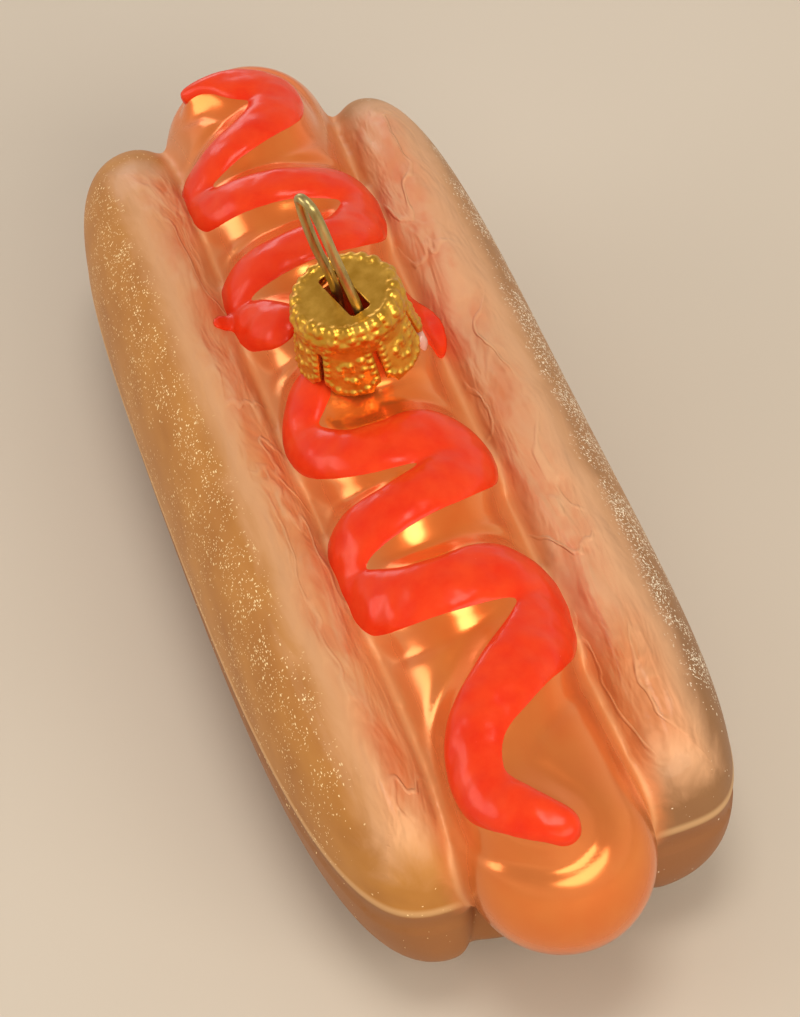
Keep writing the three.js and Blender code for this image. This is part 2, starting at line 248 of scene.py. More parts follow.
def close_form():
    bpy.ops.mesh.select_all(action="SELECT")
    bpy.ops.mesh.normals_make_consistent(inside=False)
    bpy.ops.object.mode_set(mode="OBJECT")
    return bpy.context.object


def join_up(pieces, name):
    take_up(*pieces)
    bpy.ops.object.join()
    joined = bpy.context.object
    joined.name = joined.data.name = name
    return joined


def finish_with(piece, kind, **settings):
    take_up(piece)
    modifier = piece.modifiers.new(kind.title(), kind)
    for key, value in settings.items():
        setattr(modifier, key, value)
    bpy.ops.object.modifier_apply(modifier=modifier.name)


def fuse(piece, voxel, softening):
    """One even skin over all of the piece's forms, with its steps smoothed away."""
    finish_with(piece, "REMESH", mode="VOXEL", voxel_size=voxel, adaptivity=0.0)
    finish_with(piece, "SMOOTH", factor=0.5, iterations=softening)


def cut_away(piece, cutter):
    finish_with(piece, "BOOLEAN", operation="DIFFERENCE", object=cutter, solver="EXACT")
    bpy.data.objects.remove(cutter)


def shade_round(piece):
    take_up(piece)
    bpy.ops.object.shade_smooth()


def to_frame(piece):
    """From the drawing's millimetres to metres in the row frame, with its place in its mesh."""
    take_up(piece)
    piece.matrix_world = Matrix.Scale(MM, 4) @ Matrix.Translation(DRAWING_SHIFT) @ piece.matrix_world
    bpy.ops.object.transform_apply(location=True, rotation=True, scale=True)
    return piece


def surface_of(piece):
    places = [vertex.co.copy() for vertex in piece.data.vertices]
    return BVHTree.FromPolygons(places, [tuple(face.vertices) for face in piece.data.polygons])


def ring_angles(count):
    return [2 * math.pi * i / count for i in range(count)]


def crowded_stations(last_angle, each_way):
    """Stations from -1 to 1 that lie closer together towards both ends, where a form turns in."""
    return [math.sin(math.radians(last_angle) * i / each_way) for i in range(-each_way, each_way + 1)]


def ease(value, low, high):
    t = min(1.0, max(0.0, (value - low) / (high - low)))
    return t * t * (3 - 2 * t)


def power_of(value, exponent):
    return math.copysign(abs(value) ** (2 / exponent), value)


def end_taper(t, exponent):
    return (1 - min(1.0, abs(t)) ** exponent) ** (1 / exponent)


# The mould's forms

def bow(x):
    return BOW_MIDDLE_Y + BOW_GROWTH * (x - BOW_MIDDLE_X) ** 2


def side_of(point):
    return 1 if point.y > bow(point.x) else -1


def sausage_axis_z(x):
    return SAUSAGE_AXIS_Z - SAUSAGE_DROOP * ((x - SAUSAGE_MIDDLE_X) / SAUSAGE_DROOP_REACH) ** 2


def sausage_middle(x):
    return Vector((x, bow(x), sausage_axis_z(x)))


def sausage_radius(x):
    reach = abs(x - SAUSAGE_MIDDLE_X)
    straight = SAUSAGE_HALF_LENGTH - SAUSAGE_DOME
    radius = SAUSAGE_RADIUS - (SAUSAGE_RADIUS - SAUSAGE_END_RADIUS) * min(1.0, reach / straight) ** 2
    into_dome = max(0.0, reach - straight) / SAUSAGE_DOME
    return radius * math.sqrt(max(0.0, 1 - into_dome ** 2))


def form_sausage():
    straight = SAUSAGE_HALF_LENGTH - SAUSAGE_DOME
    dome_angles = (12, 24, 36, 47, 57, 66, 74, 81, 87)
    dome = [straight + SAUSAGE_DOME * math.sin(math.radians(a)) for a in dome_angles]
    steps = 16
    barrel = [straight * i / steps for i in range(-steps, steps + 1)]
    stations = [SAUSAGE_MIDDLE_X + s for s in [-d for d in reversed(dome)] + barrel + dome]
    first = stations[0]
    ring = [
        sausage_middle(first) + sausage_radius(first) * Vector((0, math.cos(a), math.sin(a)))
        for a in ring_angles(72)
    ]
    start_section("sausage_form", ring)
    for before, x in zip(stations, stations[1:]):
        draw_out(sausage_middle(x) - sausage_middle(before))
        grow = sausage_radius(x) / sausage_radius(before)
        size_about(sausage_middle(x), y=grow, z=grow)
    return close_form()


def form_bun_half(side):
    ends = BUN_ENDS[side]

    def section(angle):
        out, up = side * math.cos(angle), math.sin(angle)
        above = up > 0
        root_y = BUN_CREST_Y if above else BUN_FOOT_Y
        reach = ends["near_side"] - root_y if out >= 0 else root_y - BUN_INNER_Y
        square = BUN_STEEP if out < 0 and above else BUN_PLUMP
        rise = BUN_CREST_Z - BUN_WAIST_Z if above else BUN_WAIST_Z + BUN_FOOT_BELOW
        return side * (root_y + reach * power_of(out, square)), BUN_WAIST_Z + rise * power_of(up, square)

    def width_at(t):
        side_y = ends["far_side"] + (ends["near_side"] - ends["far_side"]) * (t + 1) / 2
        square = ends["near_square"] if t > 0 else ends["far_square"]
        return (side_y - BUN_FOOT_Y) / (ends["near_side"] - BUN_FOOT_Y) * end_taper(t, square)

    def rise_at(t):
        return end_taper(t, BUN_END_RISE)

    def middle(t):
        x = (ends["near"] if t > 0 else ends["far"]) * t
        return Vector((x, side * BUN_FOOT_Y + bow(x), BUN_FOOT_Z))

    stations = crowded_stations(89.2, 26)
    first = stations[0]
    ring = []
    for angle in ring_angles(88):
        y, z = section(angle)
        ring.append(middle(first) + Vector((
            0, (y - side * BUN_FOOT_Y) * width_at(first), (z - BUN_FOOT_Z) * rise_at(first))))
    start_section("bun_half_form", ring)
    for before, t in zip(stations, stations[1:]):
        draw_out(middle(t) - middle(before))
        size_about(middle(t), y=width_at(t) / width_at(before), z=rise_at(t) / rise_at(before))
    return close_form()


def form_underside():
    def middle(t):
        x = UNDERSIDE_HALF_LENGTH * t
        return Vector((x, bow(x), UNDERSIDE_MIDDLE_Z))

    def width_at(t):
        return end_taper(t, UNDERSIDE_END_WIDTH)

    def rise_at(t):
        return end_taper(t, UNDERSIDE_END_RISE)

    stations = crowded_stations(89.0, 20)
    first = stations[0]
    ring = [
        middle(first) + Vector((
            0,
            UNDERSIDE_HALF_WIDTH * power_of(math.cos(a), UNDERSIDE_SQUARE) * width_at(first),
            UNDERSIDE_HALF_HEIGHT * power_of(math.sin(a), UNDERSIDE_SQUARE) * rise_at(first)))
        for a in ring_angles(72)
    ]
    start_section("underside_form", ring)
    for before, t in zip(stations, stations[1:]):
        draw_out(middle(t) - middle(before))
        size_about(middle(t), y=width_at(t) / width_at(before), z=rise_at(t) / rise_at(before))
    return close_form()


def flatten_foot(piece):
    """Cuts the form level at the surface that the ornament lies on."""
    take_up(piece)
    bpy.ops.object.mode_set(mode="EDIT")
    bpy.ops.mesh.select_all(action="SELECT")
    bpy.ops.mesh.bisect(plane_co=(0, 0, FOOT_LEVEL), plane_no=(0, 0, 1), use_fill=True, clear_inner=True)
    return close_form()


def upright_on_cap_axis(piece):
    """Leans a form that was turned about its own Z axis to the cap's axis."""
    take_up(piece)
    lean = Vector((0, 0, 1)).rotation_difference(CAP_TOP - CAP_BASE).to_matrix().to_4x4()
    piece.matrix_world = Matrix.Translation(CAP_BASE) @ lean
    bpy.ops.object.transform_apply(location=True, rotation=True, scale=True)
    return piece


def turned_form(name, outline, around):
    """A form turned about Z, drawn up from its first [radius, height] to its last."""
    radius, height = outline[0]
    ring = [Vector((radius * math.cos(a), radius * math.sin(a), height)) for a in ring_angles(around)]
    start_section(name, ring)
    for (r0, z0), (r1, z1) in zip(outline, outline[1:]):
        draw_out((0, 0, z1 - z0))
        size_about((0, 0, z1), x=r1 / r0, y=r1 / r0)
    return close_form()


def form_neck():
    """The neck, its foot sunk in the sausage, with a rounded mouth and a bore down its middle."""
    outside = [(6.8, -6), (6.3, -3), (5.2, -1), (4.7, 0.4), (4.4, 2), (4.4, 6.1)]
    mouth = [(4.25, 6.35), (3.6, 6.4), (3.3, 6.1)]
    bore = [(3.3, -0.3), (2.8, -0.6)]
    return upright_on_cap_axis(turned_form("neck_form", outside + mouth + bore, 64))


def unroll(stations):
    """A stroke's stations on the sausage rolled out flat: x, arc and half width."""
    steepest = 0.97
    flat = []
    for x, y, half in stations:
        radius = sausage_radius(x)
        across = min(steepest, max(-steepest, (y - bow(x)) / radius))
        flat.append(Vector((x, radius * math.asin(across), half)))
    return flat


def smooth_curve(stations, steps=40):
    """A centripetal curve through all stations, with its ends drawn on for one step."""
    dense = []
    padded = [2 * stations[0] - stations[1]] + stations + [2 * stations[-1] - stations[-2]]
    for p0, p1, p2, p3 in zip(padded, padded[1:], padded[2:], padded[3:]):
        t0 = 0.0
        t1 = t0 + (p1 - p0).length ** 0.5
        t2 = t1 + (p2 - p1).length ** 0.5
        t3 = t2 + (p3 - p2).length ** 0.5
        for k in range(steps):
            t = t1 + (t2 - t1) * k / steps
            a1 = p0 * (t1 - t) / (t1 - t0) + p1 * (t - t0) / (t1 - t0)
            a2 = p1 * (t2 - t) / (t2 - t1) + p2 * (t - t1) / (t2 - t1)
            a3 = p2 * (t3 - t) / (t3 - t2) + p3 * (t - t2) / (t3 - t2)
            b1 = a1 * (t2 - t) / (t2 - t0) + a2 * (t - t0) / (t2 - t0)
            b2 = a2 * (t3 - t) / (t3 - t1) + a3 * (t - t1) / (t3 - t1)
            dense.append(b1 * (t2 - t) / (t2 - t1) + b2 * (t - t1) / (t2 - t1))
    dense.append(stations[-1])
    return dense


def stroke_path(stations, spacing=0.45):
    """Even points along a stroke, and its length."""
    dense = smooth_curve(stations)
    run = [0.0]
    for a, b in zip(dense, dense[1:]):
        run.append(run[-1] + (b.xy - a.xy).length)
    count = max(8, round(run[-1] / spacing))
    even, k = [], 0
    for i in range(count + 1):
        want = run[-1] * i / count
        while k < len(run) - 2 and run[k + 1] < want:
            k += 1
        share = (want - run[k]) / max(run[k + 1] - run[k], 1e-6)
        even.append(dense[k].lerp(dense[k + 1], min(1.0, max(0.0, share))))
    return even, run[-1]


def lay_over_sausage(x, arc, height):
    thinnest, steepest, beside = 1.5, 1.4, 0.2
    radius = max(sausage_radius(x), thinnest)
    angle = min(steepest, max(-steepest, arc / radius))
    slope = (sausage_radius(x + beside) - sausage_radius(x - beside)) / (2 * beside)
    facing = Vector((-slope, math.sin(angle), math.cos(angle))).normalized()
    on_surface = Vector((x, bow(x) + radius * math.sin(angle), sausage_axis_z(x) + radius * math.cos(angle)))
    return on_surface + facing * height


def let_down(x, y, height, carrier):
    """A point let down from above on to the carrier, and lifted by its height."""
    landing = carrier.ray_cast(Vector((x, y, 60)), Vector((0, 0, -1)))[0]
    return Vector((x, y, landing.z + height))


def form_stroke(name, stations, wider, height, root, around=20, carrier=None):
    """One stroke of ketchup: a fat oval drawn out along its path on the flat, then laid on the
    sausage, or let down on to a carrier that it runs off to."""
    flat = unroll(stations) if carrier is None else [Vector(station) for station in stations]
    path, length = stroke_path(flat)
    count = len(path) - 1
    first_step, least_width, least_rise = 0.04, 0.06, 0.15

    def heading(i):
        a, b = path[max(0, i - 2)], path[min(count, i + 2)]
        return math.atan2(b.y - a.y, b.x - a.x)

    def round_off(i):
        half = path[i].z + wider
        from_end = min(i, count - i) / count * length + first_step
        return math.sqrt(max(0.0, 1 - max(0.0, 1 - from_end / half) ** 2))

    def width(i):
        return (path[i].z + wider) * max(least_width, round_off(i))

    def rise(i):
        return max(least_rise, round_off(i))

    def level(i):
        return Vector((path[i].x, path[i].y, 0))

    across = Vector((-math.sin(heading(0)), math.cos(heading(0)), 0))
    ring = [
        level(0) + across * width(0) * power_of(math.cos(a), KETCHUP_SQUARE)
        + Vector((0, 0, power_of(math.sin(a), KETCHUP_SQUARE) * rise(0)))
        for a in ring_angles(around)
    ]
    piece = start_section(name, ring)
    for i in range(1, count + 1):
        draw_out(level(i) - level(i - 1))
        turn_about_z(level(i), math.remainder(heading(i) - heading(i - 1), 2 * math.pi))
        grow = width(i) / width(i - 1)
        size_about(level(i), x=grow, y=grow, z=rise(i) / rise(i - 1))
    close_form()

    unevenness, lumps_per_mm = 0.10, 0.55
    for vertex in piece.data.vertices:
        x, arc, over = vertex.co
        lift = over * (height if over > 0 else root)
        lift *= 1.0 + unevenness * noise.noise(Vector((x * lumps_per_mm, arc * lumps_per_mm, 3.0)))
        if carrier is None:
            vertex.co = lay_over_sausage(x, arc, lift)
        else:
            vertex.co = let_down(x, arc, lift, carrier)
    return piece


def measure_glass(point, trees, mound_trees):
    """Where a point of the glass lies: how far into the bun, outside its crest, above the parting
    line and from the ketchup, and how thick the glitter is there."""
    side = side_of(point)
    to_sausage = trees["sausage"].find_nearest(point)[3]
    to_half = trees[side].find_nearest(point)[3]
    bun = to_sausage - to_half
    if point.z < UNDERSIDE_TOP_Z:
        bun = 2 * (to_sausage - min(to_half, trees["underside"].find_nearest(point)[3]))
    wander = 0.55 * noise.noise(Vector((point.x * 0.11, side * 4.0, 0)))
    across = abs(point.y - bow(point.x)) - CREST_OUT[side] - wander
    to_end = (point.x - CREST_NEAR_X if point.x > 0 else -point.x - CREST_FAR_X) * 0.8
    outside = max(across, to_end)
    if point.z <= CREST_FOOT_Z:
        outside = max(outside, CREST_FOOT_Z - point.z)
    near_ketchup = min(tree.find_nearest(point)[3] for tree in mound_trees)
    above_rim = point.z - (PARTING_Z + PARTING_SWAY * math.sin(point.x * 0.05))
    # Glitter lies in a band beside the crest, thick on the right, and stops short of the ends.
    band_foot, thickness = (5.0, 1.0) if side > 0 else (7.5, 0.36)
    glitter = ease(outside, -0.4, 0.8) * (1 - ease(outside, 2.4, band_foot))
    glitter *= thickness * (1 - ease(point.x, 35, 43)) * (1 - ease(-point.x, 40, 47))
    return dict(bun=bun, outside=outside, above_rim=above_rim, near_ketchup=near_ketchup, glitter=glitter)


def wrinkle(point, past_crest):
    """Relief of the bun's soft inside: lengthwise folds that wander, strongest half way in."""
    lengthwise = Vector((point.x * 0.10, point.y * 0.42, side_of(point) * 7.0))
    folds = noise.noise(lengthwise) + 0.5 * noise.noise(lengthwise * 2.3)
    return WRINKLE_DEPTH * folds * ease(-past_crest, 0.0, 3.0)


def glass_relief(point, normal, fact):
    """How far the skin stands out from the plain forms, in millimetres."""
    bun, above_rim = fact["bun"], fact["above_rim"]
    lift = 0.0
    if bun > 0.6 and normal.z > -0.2 and point.z > 16:
        lift += wrinkle(point, fact["outside"]) * ease(bun, 0.6, 2.5)
    # The bun's edge stands up a little where it meets the sausage.
    if point.z > 17:
        edge = math.exp(-((bun - 0.35) / 0.42) ** 2)
        uneven = 0.7 + 0.5 * noise.noise(Vector((point.x * 0.5, side_of(point) * 2.0, 1.0)))
        lift += EDGE_LIFT * edge * uneven
    # The skin dips along the ketchup, where the glass was drawn into the mould's corner.
    if bun < 0 and point.z > 20:
        dip = math.exp(-((fact["near_ketchup"] - DIP_FROM_KETCHUP) / 0.75) ** 2)
        lift -= DIP_DEPTH * dip * ease(-bun, 0.4, 2.0)
    # A fine bead runs where the two halves of the mould met, with a shallow groove under it.
    if abs(above_rim) < 2.5 and bun > 0:
        lift += PARTING_BEAD * math.exp(-(above_rim / 0.45) ** 2)
        lift -= PARTING_GROOVE * ease(-above_rim, 0.3, 1.6) * (1 - ease(-above_rim, 1.6, 5))
    return lift


def blow_glass_body():
    """All forms as one skin of glass: fused, softened as glass flows, then given its fine relief."""
    sausage = form_sausage()
    halves = {side: flatten_foot(form_bun_half(side)) for side in (-1, 1)}
    underside = flatten_foot(form_underside())
    mounds = [
        form_stroke(f"mound_{key}", STROKES[key], MOUND_WIDER, MOUND_RISE, KETCHUP_ROOT)
        for key in ("far", "near")
    ]
    neck = form_neck()
    trees = {"sausage": surface_of(sausage), "underside": surface_of(underside),
             -1: surface_of(halves[-1]), 1: surface_of(halves[1])}
    mound_trees = [surface_of(piece) for piece in mounds]
    glass = join_up([sausage, halves[-1], halves[1], underside, neck] + mounds, "blown_glass")
    fuse(glass, GLASS_VOXEL, 18)

    mesh = glass.data
    facts = {key: [] for key in GLASS_FACTS}
    normals = [v.normal.copy() for v in mesh.vertices]
    for vertex, normal in zip(mesh.vertices, normals):
        point = vertex.co.copy()
        fact = measure_glass(point, trees, mound_trees)
        vertex.co = point + normal * glass_relief(point, normal, fact)
        for key in GLASS_FACTS:
            facts[key].append(fact[key])
    for vertex in mesh.vertices:
        vertex.co.z = max(0.0, vertex.co.z)
    for key, values in facts.items():
        mesh.attributes.new(key, "FLOAT", "POINT")
        mesh.attributes[key].data.foreach_set("value", values)
    shade_round(glass)
    skin = surface_of(glass)
    return to_frame(glass), skin


def pour_ketchup(skin):
    spur = form_stroke("ketchup_spur", STROKES["spur"], 0.0, 0.5, 0.4, around=16, carrier=skin)
    far = form_stroke("ketchup_far", STROKES["far"], 0.15, KETCHUP_RISE, KETCHUP_ROOT, around=32)
    side = form_stroke("ketchup_side", STROKES["side"], 0.12, KETCHUP_RISE * 0.8, KETCHUP_ROOT, around=32,
                       carrier=skin)
    near = form_stroke("ketchup_near", STROKES["near"], 0.08, KETCHUP_RISE, KETCHUP_ROOT, around=32)
    ketchup = join_up([spur, far, side, near], "ketchup_line")
    fuse(ketchup, KETCHUP_VOXEL, 13)
    shade_round(ketchup)
    return to_frame(ketchup)


# Cap, wire and glue

def cap_outline():
    """The cap's outside as [radius, height]: flared petals, waist, rounded ring and sunk flat top."""
    top, foot, high = CAP_TOP_RADIUS, CAP_FOOT_RADIUS, CAP_HEIGHT
    petals = [(foot - 0.05, 0.0), (foot, 0.35), (foot - 0.12, 1.2), (top + 0.28, 3.1), (top + 0.02, 4.4)]
    waist = [(top, 5.2), (top, high - 2.3)]
    ring = [(top + 0.22, high - 1.95), (top + 0.22, high - 1.65), (top, high - 1.3)]
    shoulder = [(top - 0.12, high - 0.75), (top - 0.45, high - 0.25), (top - 0.85, high - 0.05)]
    flat_top = [(top - 1.05, high - 0.16), (top - 1.35, high - 0.2), (0.4, high - 0.2)]
    return petals + waist + ring + shoulder + flat_top


def open_foot(cap):
    """Takes the flat face off the cap's foot, with everything else left unselected."""
    take_up(cap)
    bpy.ops.object.mode_set(mode="EDIT")
    bpy.ops.mesh.select_all(action="DESELECT")
    bpy.ops.object.mode_set(mode="OBJECT")
    for face in cap.data.polygons:
        face.select = face.normal.z < -0.9 and face.center.z < 0.05
    bpy.ops.object.mode_set(mode="EDIT")
    bpy.ops.mesh.delete(type="FACE")
    bpy.ops.object.mode_set(mode="OBJECT")


def cut_petals_apart(cap):
    """A slit between each petal and the next, ending in a round notch at the foot."""
    for i in range(PETAL_COUNT):
        angle = FIRST_SLIT_ANGLE + i / PETAL_COUNT * 2 * math.pi
        foot = Vector((math.cos(angle), math.sin(angle), 0)) * CAP_FOOT_RADIUS
        let_go()
        bpy.ops.mesh.primitive_cube_add(size=1, location=foot + Vector((0, 0, SLIT_HEIGHT)),
                                        rotation=(0, 0, angle), scale=SLIT_SIZE)
        slit = bpy.context.object
        finish_with(slit, "BEVEL", width=0.22, segments=3)
        cut_away(cap, slit)
        let_go()
        bpy.ops.mesh.primitive_cylinder_add(vertices=32, radius=NOTCH_RADIUS, depth=4,
                                            location=foot + Vector((0, 0, NOTCH_HEIGHT)),
                                            rotation=(0, math.pi / 2, angle))
        cut_away(cap, bpy.context.object)


def cut_slot(cap):
    let_go()
    bpy.ops.mesh.primitive_cube_add(size=1, location=(0, 0, CAP_HEIGHT), rotation=(0, 0, SLOT_ANGLE),
                                    scale=SLOT_SIZE)
    slot = bpy.context.object
    finish_with(slot, "BEVEL", width=0.35, segments=3)
    cut_away(cap, slot)


def stamp_cap():
    cap = turned_form("cap", cap_outline(), 120)
    open_foot(cap)
    finish_with(cap, "SOLIDIFY", thickness=SHEET, offset=-1, use_even_offset=True)
    cut_petals_apart(cap)
    cut_slot(cap)
    cap = join_up([cap, stamp_beads()], "crown_cap")
    fuse(cap, CAP_VOXEL, 3)
    shade_round(cap)
    return to_frame(upright_on_cap_axis(cap))


def cap_radius_at(height):
    """The cap's outer radius below its ring, read between the outline's points."""
    top, foot = CAP_TOP_RADIUS, CAP_FOOT_RADIUS
    outline = [(0, foot), (1.2, foot - 0.12), (3.1, top + 0.28), (4.4, top + 0.02), (5.2, top)]
    for (z0, r0), (z1, r1) in zip(outline, outline[1:]):
        if height <= z1:
            return r0 + (r1 - r0) * (height - z0) / (z1 - z0)
    return top


def bead_places():
    """Place and radius of every stamped bead, sunk in the sheet and a little uneven."""
    places = []

    def set_bead(angle, out, height, radius):
        places.append((Vector((out * math.cos(angle), out * math.sin(angle), height)), radius))

    # Rings round the flat top and the shoulder: how many beads, how far out and how far below the
    # top, their radius, how far they stray round, up and in size, and how fast each straying turns.
    rings = (
        (23, 4.40, 0.78, 0.80, (0.12, 0.0, 0.04), (2.4, 0.0, 1.7)),
        (24, 4.76, 1.42, 0.70, (0.20, 0.14, 0.08), (3.1, 4.7, 2.9)),
        (30, 4.84, 2.30, 0.58, (0.20, 0.16, 0.08), (5.3, 2.3, 1.9)),
    )
    for count, out, below, radius, stray, pace in rings:
        for i in range(count):
            angle = (i + stray[0] * math.sin(i * pace[0])) / count * 2 * math.pi
            height = CAP_HEIGHT - below + stray[1] * math.sin(i * pace[1])
            set_bead(angle, out, height, radius + stray[2] * math.sin(i * pace[2]))

    edge_heights = (1.5, 2.2, 2.9, 3.6, 4.3, 5.0)
    from_edge = 0.70
    for i in range(PETAL_COUNT):
        left = FIRST_SLIT_ANGLE + i / PETAL_COUNT * 2 * math.pi
        right = left + 2 * math.pi / PETAL_COUNT
        middle = (left + right) / 2
        for edge, inward in ((left, 1), (right, -1)):
            for k, z in enumerate(edge_heights):
                wall = cap_radius_at(z)
                set_bead(edge + inward * from_edge / wall, wall - 0.17, z, 0.38 + 0.05 * math.sin(k * 5 + i))
        # Round the petal's foot.
        for k in range(7):
            across = -1 + k / 3
            z = 0.45 + 0.72 * across * across
            set_bead(middle + across * 0.35, cap_radius_at(z) - 0.16, z, 0.39 + 0.05 * math.sin(k * 3 + i))
        # Leaf scroll in the middle of the petal, winding outwards.
        for k in range(12):
            turn = k * 0.62
            reach = 0.2 + 0.15 * k
            z = 3.1 + 0.95 * reach * math.sin(turn)
            set_bead(middle + 0.155 * reach * math.cos(turn), cap_radius_at(z) - 0.20, z,
                     0.40 + 0.07 * math.sin(k * 4.1))
    return places


def stamp_beads():
    let_go()
    bpy.ops.mesh.primitive_ico_sphere_add(subdivisions=2, radius=1)
    bead = bpy.context.object
    beads = []
    for place, radius in bead_places():
        copy = bead.copy()
        copy.data = bead.data.copy()
        copy.location = place
        copy.scale = (radius, radius, radius)
        bpy.context.scene.collection.objects.link(copy)
        beads.append(copy)
    bpy.data.objects.remove(bead)
    joined = join_up(beads, "cap_beads")
    bpy.ops.object.transform_apply(location=True, rotation=True, scale=True)
    return joined


def wire_route():
    """Up one leg out of the neck and the slot, round the bow and down the other leg."""
    along = Vector((math.cos(WIRE_ANGLE), math.sin(WIRE_ANGLE), 0))
    down = (CAP_BASE - CAP_TOP).normalized()
    rising = (WIRE_TOP - CAP_TOP).normalized()
    shoulder = WIRE_TOP - rising * WIRE_BOW_RADIUS
    slot = CAP_TOP + WIRE_SET_OFF

    def leg(sign):
        return [
            slot + down * 5.5 + along * sign * 1.95,
            slot + down * 2.8 + along * sign * 1.8,
            slot + along * sign * 1.5,
            slot.lerp(shoulder, 0.55) + WIRE_LEAN + along * sign * 1.5,
            shoulder + along * sign * WIRE_BOW_RADIUS,
        ]

    bend = [
        shoulder + along * WIRE_BOW_RADIUS * math.cos(a) + rising * WIRE_BOW_RADIUS * math.sin(a)
        for a in (math.pi / 4, math.pi / 2, 3 * math.pi / 4)
    ]
    return leg(1) + bend + leg(-1)[::-1]


def bend_wire():
    route = wire_route()
    let_go()
    bpy.ops.curve.primitive_nurbs_path_add()
    curve = bpy.context.object
    curve.name = curve.data.name = "wire_loop"
    curve.data.splines.remove(curve.data.splines[0])
    spline = curve.data.splines.new("BEZIER")
    spline.bezier_points.add(len(route) - 1)
    for knot, place in zip(spline.bezier_points, route):
        knot.co = place
        knot.handle_left_type = knot.handle_right_type = "AUTO"
    curve.data.dimensions = "3D"
    curve.data.resolution_u = 14
    curve.data.bevel_depth = WIRE_RADIUS
    curve.data.bevel_resolution = 5
    curve.data.use_fill_caps = True
    take_up(curve)
    bpy.ops.object.convert(target="MESH")
    wire = bpy.context.object
    bpy.ops.object.shade_smooth_by_angle(angle=math.radians(50))
    return to_frame(wire)


def drop_of_glue():
    let_go()
    bpy.ops.mesh.primitive_uv_sphere_add(segments=32, ring_count=20, radius=1, location=GLUE_PLACE)
    drop = bpy.context.object
    drop.name = drop.data.name = "glue_drop"
    drop.scale = GLUE_SIZE
    bpy.ops.object.transform_apply(location=True, rotation=True, scale=True)
    for vertex in drop.data.vertices:
        vertex.co += vertex.normal * 0.14 * noise.noise(vertex.co * 0.9)
    bpy.ops.object.shade_smooth()
    return to_frame(drop)


# Finishes

def new_finish(name):
    """A material with its tree, its shader and the piece's own coordinates."""
    material = bpy.data.materials.new(name)
    material.use_nodes = True
    tree = material.node_tree
    coords = tree.nodes.new("ShaderNodeTexCoord").outputs["Object"]
    return material, tree, tree.nodes["Principled BSDF"], coords


def add(tree, kind, **settings):
    node = tree.nodes.new(kind)
    for key, value in settings.items():
        if key in node.bl_rna.properties:
            setattr(node, key, value)
        else:
            node.inputs[key].default_value = value
    return node


def ramp(tree, source, *stops):
    node = tree.nodes.new("ShaderNodeValToRGB")
    tree.links.new(source, node.inputs["Fac"])
    elements = node.color_ramp.elements
    while len(elements) < len(stops):
        elements.new(0.5)
    for element, (place, colour) in zip(elements, stops):
        element.position = place
        element.color = (*colour, 1)
    return node.outputs["Color"]


def blend_colours(tree, share, one, other):
    node = tree.nodes.new("ShaderNodeMix")
    node.data_type = "RGBA"
    tree.links.new(share, node.inputs[0])
    for index, value in ((6, one), (7, other)):
        if isinstance(value, tuple):
            node.inputs[index].default_value = (*value, 1)
        else:
            tree.links.new(value, node.inputs[index])
    return node.outputs[2]


def reckon(tree, how, *values):
    node = tree.nodes.new("ShaderNodeMath")
    node.operation = how
    for index, value in enumerate(values):
        if isinstance(value, (int, float)):
            node.inputs[index].default_value = value
        else:
            tree.links.new(value, node.inputs[index])
    return node.outputs[0]


def times(tree, first, *others):
    for other in others:
        first = reckon(tree, "MULTIPLY", first, other)
    return first


def about_zero(tree, field, reach):
    """A field of 0 to 1 moved to lie about zero and stretched."""
    return times(tree, reckon(tree, "SUBTRACT", field, 0.5), reach)


def tint(tree, colour, towards, amount, *masks):
    """The colour moved by the amount towards another, where all the masks say so."""
    return blend_colours(tree, times(tree, *masks, amount), colour, towards)


def step_between(tree, value, low, high):
    node = tree.nodes.new("ShaderNodeMapRange")
    node.interpolation_type = "SMOOTHSTEP"
    tree.links.new(value, node.inputs["Value"])
    node.inputs["From Min"].default_value = low
    node.inputs["From Max"].default_value = high
    return node.outputs["Result"]


def split_axes(tree, vector):
    node = tree.nodes.new("ShaderNodeSeparateXYZ")
    tree.links.new(vector, node.inputs["Vector"])
    return node.outputs


def new_group(name, output, *inputs):
    """A node group with one float output and its inputs, each a name, a kind and a default."""
    group = bpy.data.node_groups.new(name, "ShaderNodeTree")
    for socket, kind, default in inputs:
        item = group.interface.new_socket(socket, in_out="INPUT", socket_type=kind)
        if default is not None:
            item.default_value = default
    group.interface.new_socket(output, in_out="OUTPUT", socket_type="NodeSocketFloat")
    return group, group.nodes.new("NodeGroupInput"), group.nodes.new("NodeGroupOutput")


def mottle_group():
    """Cloudy mottling on a piece's own coordinates, its grain given in marks per millimetre."""
    group, inside, outside = new_group(
        MOTTLE, "Mottle",
        ("Vector", "NodeSocketVector", None), ("Stretch", "NodeSocketVector", (1, 1, 1)),
        ("Marks per mm", "NodeSocketFloat", 1.0), ("Detail", "NodeSocketFloat", 3.0),
        ("Roughness", "NodeSocketFloat", 0.55), ("Wander", "NodeSocketFloat", 0.0))
    stretched = add(group, "ShaderNodeVectorMath", operation="MULTIPLY")
    group.links.new(inside.outputs["Vector"], stretched.inputs[0])
    group.links.new(inside.outputs["Stretch"], stretched.inputs[1])
    sized = add(group, "ShaderNodeVectorMath", operation="SCALE")
    group.links.new(stretched.outputs[0], sized.inputs[0])
    group.links.new(times(group, inside.outputs["Marks per mm"], 1 / MM), sized.inputs["Scale"])
    noise_field = add(group, "ShaderNodeTexNoise", Scale=1.0)
    group.links.new(sized.outputs[0], noise_field.inputs["Vector"])
    for own, given in (("Detail", "Detail"), ("Roughness", "Roughness"), ("Distortion", "Wander")):
        group.links.new(inside.outputs[given], noise_field.inputs[own])
    group.links.new(noise_field.outputs["Fac"], outside.inputs["Mottle"])


